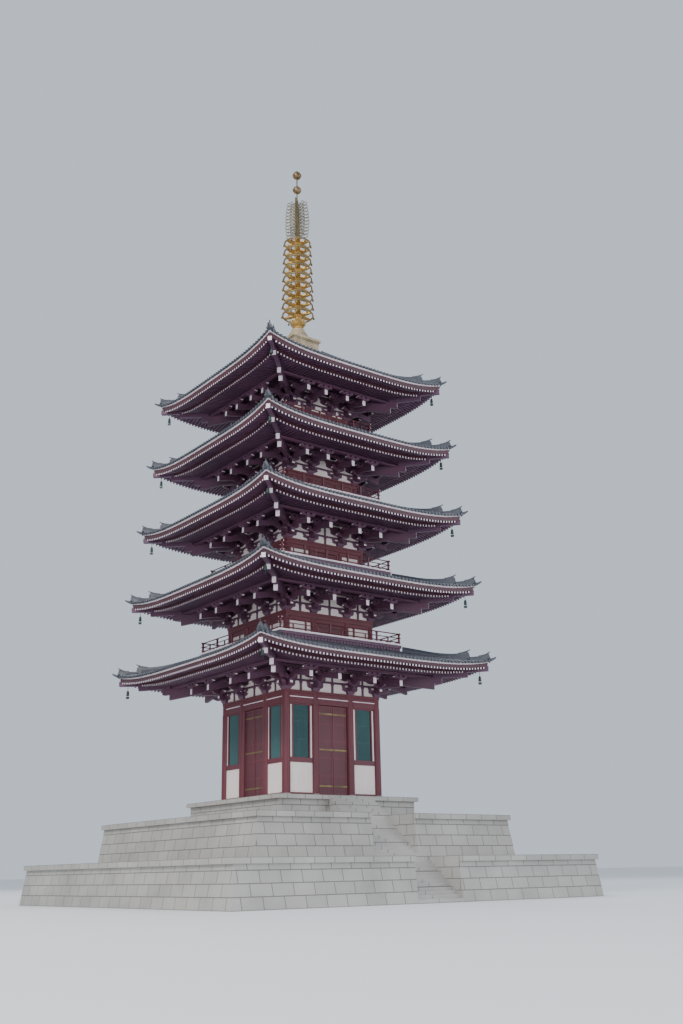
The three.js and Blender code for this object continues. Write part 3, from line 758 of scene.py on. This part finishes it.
def make_brackets(storey, number):
    """Bracket zone between the wall plate and the eaves."""
    # The timber slot takes SHADE_RED, a darker bluish red: painted shade in the bracket zone.
    timber, plaster, white = range(3)
    columns, inner, *_, bar = storey
    line, low, purlin = eave_line(storey), plate_top(storey), purlin_of(storey)
    zone = Shell()
    zone.bands(
        columns,
        (0.12, 0.05, low, soffit(storey, columns) - 0.03, plaster),
        (0.1, 0.09, low + bar, low + bar + 0.13, timber),
        (0.1, 0.09, low + 1.2, low + 1.36, timber),
        (-0.87, 1.03, low + 1.22, low + 1.36, timber),
    )
    zone.bands(purlin, (0.12, 0.12, line - 0.44, line - SOFFIT_DROP - 0.03, timber))
    side = Shell()
    y, block = -columns, line - BLOCK_DROP
    tail = purlin + 0.1
    rise = TAIL_SLOPE * (tail - columns)
    for x in (-columns, -inner, inner, columns):
        bracket_cluster(side, storey, x, white)
        left, right = max(x - 0.62, y - 0.09), min(x + 0.62, columns + 0.09)
        side.box(left, right, y - 0.07, y, low + 1.04, low + 1.21)
        stations = [(-tail, block - 0.18, block + 0.17), (y, block - 0.18 + rise, block + 0.17 + rise)]
        side.beam(x, 0.24, stations, timber, white)
    for place in STRUTS.get(number, ()):
        x = place * (columns + inner) / 2
        side.box(x - 0.08, x + 0.08, y - 0.09, y, low, low + bar - 0.12)
        bearing_block(side, x, y + 0.02, low + bar - 0.13, 0.24, 0.14)
        side.box(x - 0.07, x + 0.07, y - 0.08, y, low + bar + 0.12, low + 1.21)
    tail = purlin + 0.17
    rise = TAIL_SLOPE * (tail - columns)
    foot, head = block - 0.2, block + 0.18
    beam = [(columns, foot + rise), (tail, foot), (tail, head), (columns, head + rise)]
    diagonal_plate(side, beam, 0.26, [timber, white, timber, timber])
    hip = purlin + 0.52
    upper = [
        (columns, head + rise), (hip - 0.12, block + 0.12), (hip, block + 0.16),
        (hip, line - HIP_DROP - 0.01), (columns, line - HIP_DROP + 0.3),
    ]
    diagonal_plate(side, upper, 0.25, [timber, timber, white, timber, timber])
    for end, z in ((columns + 0.7, low + 0.22), (columns + 1.25, low + 0.6)):
        outline = [(columns, z), (end - 0.2, z), (end, z + 0.14), (end, z + 0.24), (columns, z + 0.24)]
        diagonal_plate(side, outline, 0.22)
    zone.on_four_sides(side)
    zone.build(f"bracket_zone_{number}", [SHADE_RED, PLASTER, WHITE], f"brackets_{number}")


def door_leaf(shell, left, right, y, low, high, thickness, rows, panel_slot):
    """Framed door leaf: sunk panels, stiles and rails."""
    stile, rail, half = 0.1, 0.12, thickness / 2
    sunk = thickness * 0.22
    shell.box(left + 0.02, right - 0.02, y - sunk, y + sunk, low + 0.02, high - 0.02, panel_slot)
    for x0, x1 in ((left, left + stile), (right - stile, right)):
        shell.box(x0, x1, y - half, y + half, low, high)
    for k in range(rows + 1):
        z = low + (high - low - rail) * k / rows
        shell.box(left + stile, right - stile, y - half + 0.004, y + half - 0.004, z, z + rail)


def make_upper_walls(storey, number):
    """Upper storey: round columns, plaster side bays, closed panelled doors and head frame."""
    timber, plaster, _, door = range(4)
    columns, inner, floor, *_ = storey
    top = plate_top(storey)
    beam = top - UPPER_HEAD
    lintel = beam - UPPER_LINTEL
    y = -columns
    walls = Shell()
    walls.bands(
        columns, (0.2, 0.16, beam, top - 0.14, timber), (0.2, 0.2, top - 0.14, top, timber),
        (0.1, 0.12, floor, floor + 0.14, timber), (0.1, 0.1, lintel, beam + 0.01, timber),
    )
    side = Shell()
    for x in (-columns, -inner, inner):
        side.turned([(UPPER_RADIUS, floor), (UPPER_RADIUS, beam + 0.02)], 18, timber, (x, y, 0))
    for left, right in ((-columns, -inner), (inner, columns)):
        side.box(left, right, y - 0.05, y + 0.05, floor + 0.1, beam + 0.01, plaster)
    edge = inner - UPPER_RADIUS
    for left, right in ((-inner, -edge + 0.05), (edge - 0.05, inner)):
        side.box(left, right, y - 0.08, y + 0.08, floor + 0.1, beam)
    side.box(-edge, edge, y - 0.06, y + 0.06, lintel, beam + 0.01)
    for left, right in ((-edge + 0.05, -0.008), (0.008, edge - 0.05)):
        door_leaf(side, left, right, y, floor + 0.13, lintel + 0.01, 0.08, 2, door)
    walls.on_four_sides(side)
    walls.build(f"storey_walls_{number}", [RED, PLASTER, WHITE, DOOR_RED], f"walls_{number}")


def make_balcony(storey, number):
    """Balcony floor with its white edge and skirt, and the railing with crossing, white-tipped ends."""
    red, white, board, shade = range(4)
    edge, floor = storey.edge, storey.floor
    low = floor - FLOOR_THICKNESS
    foot = low - SKIRT - 0.02
    line = edge - RAILING_INSET
    balcony = Shell()
    balcony.box(-edge + 0.1, edge - 0.1, -edge + 0.1, edge - 0.1, low, floor - 0.012, board)
    # The shade slot on the underside, the lower fascia and the skirt is a darker bluish red: painted shade.
    balcony.ring([
        (edge - 0.3, low), (edge - 0.06, low), (edge - 0.06, floor - 0.11), (edge, floor - 0.11),
        (edge, floor), (edge - 0.3, floor),
    ], 0, [shade, shade, white, white, board, red])
    balcony.bands(edge, (0.42, -0.13, foot, low + 0.01, shade))
    side = Shell()
    for x in rafter_places(edge - 0.25):
        side.box(x - 0.06, x + 0.06, -edge + 0.09, -edge + 0.14, foot, low + 0.01, shade)
    for height, radius, reach, rise in RAILS:
        end, z = line + reach, floor + height
        bends = ((-end, z + rise), (-line + 0.2, z), (line - 0.2, z), (end, z + rise))
        side.tube([(x, -line, up) for x, up in bends], radius, 8, red, (white, white))
    for i in range(2 * RAILING_BAYS):
        x = -line + line * i / RAILING_BAYS
        tall = i % 2 == 0
        half, high = (0.05, 0.65) if tall else (0.035, 0.41)
        side.box(x - half, x + half, -line - half, -line + half, floor - 0.01, floor + high)
        if tall:
            bearing_block(side, x, -line, floor + 0.56, 0.13, 0.1)
    balcony.on_four_sides(side)
    balcony.build(f"railed_balcony_{number}", [RED, WHITE, BOARD, SHADE_RED], f"balcony_{number}")


def window_bay(storey, top, plaster, green):
    """Front bay left of the door: panelled wall below, green barred window above."""
    x0, x1, y, floor = -storey.columns, -storey.inner, -storey.columns, storey.floor
    sill, left, right = WINDOW["sill"], x0 + WINDOW["inset"], x1 - WINDOW["inset"]
    bay = Shell()
    bay.box(x0, x1, y - 0.07, y + 0.07, floor, sill - 0.12, plaster)
    for deep, low, high in ((0.1, floor, floor + 0.24), (0.1, sill - 0.3, sill), (0.08, top - 0.1, top)):
        bay.box(x0, x1, y - deep, y + deep, low, high)
    for start, end in ((x0, left), (right, x1)):
        bay.box(start, end, y - 0.06, y + 0.06, sill, top - 0.1, plaster)
    for x in (left, right):
        bay.box(x - 0.05, x + 0.05, y - 0.09, y + 0.09, sill, top - 0.1)
    # The bars are square and set edge-on
    bar = [(WINDOW["bar_radius"], sill - 0.01), (WINDOW["bar_radius"], top - 0.09)]
    for i in range(WINDOW["bars"]):
        x = left + 0.05 + (right - left - 0.1) * (i + 0.5) / WINDOW["bars"]
        bay.turned(bar, 4, green, (x, y, 0))
    for share in (0.33, 0.66):
        z = sill + (top - sill) * share
        bay.box(left, right, y - 0.015, y + 0.03, z, z + 0.06, green)
    return bay


def make_ground_corners(storey, top):
    """Four corners of the first storey, each with two window bays and three columns."""
    timber, plaster, green, stone = range(4)
    columns, inner, floor, *_ = storey
    bay = window_bay(storey, top, plaster, green)
    corner = Shell()
    corner.merge(bay)
    corner.merge(bay, 3, True)
    shaft = [(GROUND_RADIUS, floor), (GROUND_RADIUS, top)]
    foot = [(GROUND_RADIUS + 0.07, 0), (GROUND_RADIUS + 0.07, 0.1), (GROUND_RADIUS + 0.02, 0.16)]
    for x, y in ((-columns, -columns), (-inner, -columns), (-columns, -inner)):
        corner.turned(shaft, 24, timber, (x, y, 0))
        corner.turned(foot, 24, stone, (x, y, floor))
    for turn, place in enumerate(("front_left", "front_right", "back_right", "back_left")):
        piece = Shell()
        piece.merge(corner, turn)
        piece.build(f"corner_bay_{place}", [RED, PLASTER, GREEN, STONE], f"ground_corner_{place}")


def make_ground_doors(storey, top):
    """Eight door leaves of the first storey, each with its pin and gilt bands, on a body of its own."""
    _, panel, gilt = range(3)
    y, outer = -storey.columns, storey.inner - GROUND_RADIUS - 0.03
    low, high = storey.floor + 0.15, top - 0.03
    for turn, face in enumerate(("front", "right", "back", "left")):
        for name, side in (("left", -1), ("right", 1)):
            leaf = Shell()
            x0, x1 = sorted((side * 0.015, side * outer))
            door_leaf(leaf, x0, x1, y, low, high, 0.07, 5, panel)
            pin = side * (outer - 0.035)
            leaf.tube([(pin, y, low - 0.029), (pin, y, high + 0.029)], 0.025, 8, gilt)
            for z in (low + 0.5, (low + high) / 2, high - 0.5):
                leaf.box(x0 + 0.004, x1 - 0.004, y - 0.04, y + 0.04, z - 0.05, z + 0.05, gilt)
            piece = Shell()
            piece.merge(leaf, turn)
            node = f"door_{face}_{name}"
            piece.build(f"leaf_{face}_{name}", [RED, DOOR_RED, DULL_GOLD], node, body=node)


def make_ground_head(storey, low):
    """Head frame of the first storey with its white line, and the tops of the columns."""
    timber, white = range(2)
    columns, inner, *_ = storey
    high = plate_top(storey)
    head = Shell()
    head.bands(
        columns, (0.2, 0.14, low, low + 0.36, timber), (0.16, 0.155, low + 0.36, low + 0.41, white),
        (0.2, 0.12, low + 0.41, high - 0.16, timber), (0.2, 0.2, high - 0.16, high, timber),
    )
    side = Shell()
    shaft = [(GROUND_RADIUS - 0.02, low), (GROUND_RADIUS - 0.02, high - 0.16)]
    for x in (-columns, -inner, inner):
        side.turned(shaft, 24, timber, (x, -columns, 0))
    head.on_four_sides(side)
    head.build("ground_head_frame", [RED, WHITE], "head_frame_1")


def make_finial_base():
    """Box with its mouldings, and the bowl with bosses round it."""
    base = Shell()
    for half, low, high in ((1.08, 0, 0.87), (1.14, 0, 0.15), (1.13, 0.87, 0.95), (1.2, 0.95, 1.15)):
        base.box(-half, half, -half, half, FINIAL["box"] + low, FINIAL["box"] + high)
    bowl = [(0.85, -0.02), (0.85, 0.02), (0.84, 0.2), (0.78, 0.42), (0.66, 0.65), (0.52, 0.82), (0.5, 0.94)]
    base.turned(bowl, 32, 0, (0, 0, FINIAL["bowl"]))
    for cos, sin in circle(8, 0.5):
        base.turned([(0.05, 0.02), (0.1, 0.1), (0.06, 0.22)], 8, 0, (0.82 * cos, 0.82 * sin, FINIAL["bowl"]))
    base.build("finial_base", [PALE_GOLD], "finial_box")


def petal(shell, cos, sin, level, size):
    """Lotus petal that curves up and out."""
    rings = []
    for out, up, half in ((0.2, -0.1, 0.06), (0.42, 0.02, 0.12), (0.55, 0.18, 0.1), (0.56, 0.34, 0.012)):
        ring = []
        for across, thick in ((-half, 0), (0, -0.02), (half, 0), (0, 0.02)):
            x = out * size / 0.56 - thick
            ring.append((x * cos - across * sin, x * sin + across * cos, level + up))
        rings.append(ring)
    shell.sweep(rings)


def ring_tier(shell, z, radius, shaded_side_slot):
    """One ring of the finial: hoop, hub, six spokes shaped like petals, and bells between them."""
    inside = radius - 0.11
    section = [
        (inside, 0.03), (radius - 0.02, 0.01), (radius, 0.03),
        (radius, 0.1), (radius - 0.02, 0.12), (inside, 0.09),
    ]
    # The hoop's outside and top take the darker bronze, its underside and inside the gilding: partly
    # weathering, partly painted shade on the outer side.
    hoop = [[(r * cos, r * sin, z + up) for r, up in section] for cos, sin in circle(40)[::-1]]
    shell.sweep(hoop, [0, *[shaded_side_slot] * 4, 0], loop=True)
    shell.turned([(0.22, -0.1), (0.32, -0.02), (0.36, 0.08), (0.27, 0.2), (0.2, 0.32)], 16, 0, (0, 0, z))
    widths = [(0.2, 0.1), (0.45, 0.19), (0.7, 0.165), (radius - 0.2, 0.09), (radius - 0.08, 0.06)]
    for cos, sin in circle(6):
        rings = []
        for out, half in widths:
            corners = ((-half, 0.02), (half, 0.02), (half, 0.14), (-half, 0.14))
            rings.append([(out * cos - y * sin, out * sin + y * cos, z + up) for y, up in corners])
        shell.sweep(rings)
    bell = [(0.04, -0.2), (0.075, -0.19), (0.06, -0.08), (0.014, -0.01), (0.014, 0.04)]
    for cos, sin in circle(6, 0.5):
        shell.turned(bell, 8, shaded_side_slot, ((radius + 0.01) * cos, (radius + 0.01) * sin, z))


def make_ring_column():
    """Lotus, shaft and the rings on it, which grow smaller upwards."""
    gold, bronze = range(2)
    lotus = FINIAL["lotus"]
    column = Shell()
    cup = [(0.34, 0), (0.4, 0.07), (0.3, 0.17), (0.36, 0.3), (0.5, 0.5), (0.56, 0.6)]
    column.turned(cup, 28, gold, (0, 0, lotus))
    for level, count, start, size in ((lotus + 0.27, 8, 0, 0.52), (lotus + 0.47, 12, 0.5, 0.6)):
        for cos, sin in circle(count, start):
            petal(column, cos, sin, level, size)
    column.tube([(0, 0, lotus + 0.05), (0, 0, FINIAL["flame"] - 0.06)], 0.2, 16, gold)
    for i in range(RINGS):
        z, radius = (low + (high - low) * i / (RINGS - 1) for low, high in zip(*RING_ENDS))
        ring_tier(column, z, radius, bronze)
    column.build("ring_column", [GOLD, WEATHERED_SHADED_BRONZE], "finial_rings")


def scroll(shell, start, reach, z, size, slot):
    """Curled tendril of the flame, from the sleeve out along the front left diagonal."""
    path = []
    steps = 12
    centre = reach - size
    for k in range(steps + 1):
        t = 2 * k / steps
        if t < 1:
            out, up = start + (centre - start) * t, 0.12 * math.sin(math.pi * t / 2)
        else:
            angle = (t - 1) * 1.5 * math.pi
            r = size * (1 - 0.62 * (t - 1))
            out, up = centre + r * math.sin(angle), 0.12 + size * 0.9 - r * math.cos(angle)
        path.append((-out * DIAGONAL, -out * DIAGONAL, z + up))
    shell.tube(path, 0.032, 6, slot)


def make_flame():
    """Sleeve and the openwork flame: four vanes of tendrils that curl at the outline."""
    gold, bronze = range(2)
    low = FINIAL["flame"]
    flame = Shell()
    flame.tube([(0, 0, low - 0.05), (0, 0, low + 1.4), (0, 0, low + 3.39)], [0.19, 0.17, 0.1], 16, gold)
    outline = [(0, 0.86), (1, 0.97), (2, 0.92), (3, 0.78), (3.4, 0.6)]
    vane = Shell()
    tendrils = ((0.14, 1, 0, 0.17), (0.12, 0.68, 0.14, 0.15), (0.1, 0.4, 0.04, 0.11))
    for level in range(FLAME_LEVELS):
        up = level * 0.288
        reach = interpolate(outline, up)
        for start, share, rise, size in tendrils:
            scroll(vane, start, reach * share, low + up + rise, size, bronze)
    flame.on_four_sides(vane)
    flame.build("flame_openwork", [DULL_GOLD, WEATHERED_SHADED_BRONZE], "finial_flame")


def make_jewels():
    """Rod with two banded jewels, the upper one pointed."""
    gold, bronze = range(2)
    jewels = Shell()
    jewels.tube([(0, 0, FINIAL["rod"]), (0, 0, FINIAL["rod"] + 2.3)], 0.055, 10, bronze)
    for z, radius in JEWELS:
        ball = [(radius * cos, radius * sin) for cos, sin in circle(32, -8)[1:16]]
        jewels.turned(ball, 28, gold, (0, 0, z))
        band = [(radius * 1.04, -0.03), (radius * 1.06, 0), (radius * 1.04, 0.03)]
        jewels.turned(band, 28, gold, (0, 0, z))
    point = [(0.2, -0.238), (0.12, -0.148), (0.05, -0.058), (0.012, 0)]
    jewels.turned(point, 20, gold, (0, 0, FINIAL["tip"]))
    jewels.build("jewels", [JEWEL_GOLD, WEATHERED_SHADED_BRONZE], "finial_jewels")


ground = STOREYS[0]
ground_top = plate_top(ground) - GROUND_HEAD
make_ground_corners(ground, ground_top)
make_ground_doors(ground, ground_top)
make_ground_head(ground, ground_top)
for number, storey in enumerate(STOREYS, 1):
    if number > 1:
        make_upper_walls(storey, number)
        make_balcony(storey, number)
    make_brackets(storey, number)
    make_eaves(storey, number)
    make_bells(storey, number)
    if number < len(STOREYS):
        following = STOREYS[number]
        make_roof(storey, number, following.edge - 0.12, following.floor - FLOOR_THICKNESS)
    else:
        make_roof(storey, number, *TOP_ROOF)
make_finial_base()
make_ring_column()
make_flame()
make_jewels()

# The stone base keeps its solids and gets its materials
for name in ("lower_terrace", "upper_podium", "ground_floor", "lower_steps", "upper_steps"):
    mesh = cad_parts[name].data
    mesh.materials.clear()
    mesh.materials.append(STEP_STONE if "steps" in name else STONE)


def place_camera():
    """Camera at the photo's place: turned by its heading, its tilt and a slight roll."""
    pose = Matrix.Translation((-20.403, -29.248, 0.8))
    for angle, axis in ((-37.269, "Z"), (90 + 18.437, "X"), (-1.107, "Z")):
        pose @= Matrix.Rotation(math.radians(angle), 4, axis)
    data = bpy.data.cameras.new("camera")
    data.sensor_width = 36.0
    data.lens = 38.053
    data.clip_start = 0.1
    data.clip_end = 10000.0
    camera = link_object("camera", data)
    camera.matrix_world = pose
    bpy.context.scene.camera = camera


def floor_stage():
    """Wide pale floor just under the model."""
    half = 4000.0
    mesh = bpy.data.meshes.new("floor")
    corners = [(-half, -half, 0), (half, -half, 0), (half, half, 0), (-half, half, 0)]
    mesh.from_pydata(corners, [], [[0, 1, 2, 3]])
    mesh.materials.append(Nodes("floor_paint").finish((0.79, 0.8, 0.81, 1), 0.9))
    floor = link_object("floor", mesh)
    floor.location.z = -0.002


def lamp(name, location, aim, size, power, colour):
    """Soft square lamp that points at a height on the centre line."""
    data = bpy.data.lights.new(name, "AREA")
    data.shape = "SQUARE"
    data.size = size
    data.energy = power
    data.color = colour
    item = link_object(name, data)
    item.location = location
    item.rotation_euler = (Vector((0, 0, aim)) - Vector(location)).to_track_quat("-Z", "Y").to_euler()


place_camera()
floor_stage()
lamp("key", (-38, -14, 40), 12, 18, 17000, (1.0, 0.97, 0.93))
lamp("fill", (30, -40, 22), 12, 24, 7000, (0.86, 0.92, 1.0))
lamp("bounce", (-26, -42, 5), 14, 26, 8500, (0.93, 0.92, 1.0))
lamp("back", (20, 42, 40), 16, 20, 9000, (1.0, 0.97, 0.92))
world = bpy.data.worlds.new("studio")
world.use_nodes = True
background = world.node_tree.nodes["Background"]
background.inputs["Color"].default_value = (0.72, 0.8, 0.92, 1)
background.inputs["Strength"].default_value = 0.9
bpy.context.scene.world = world
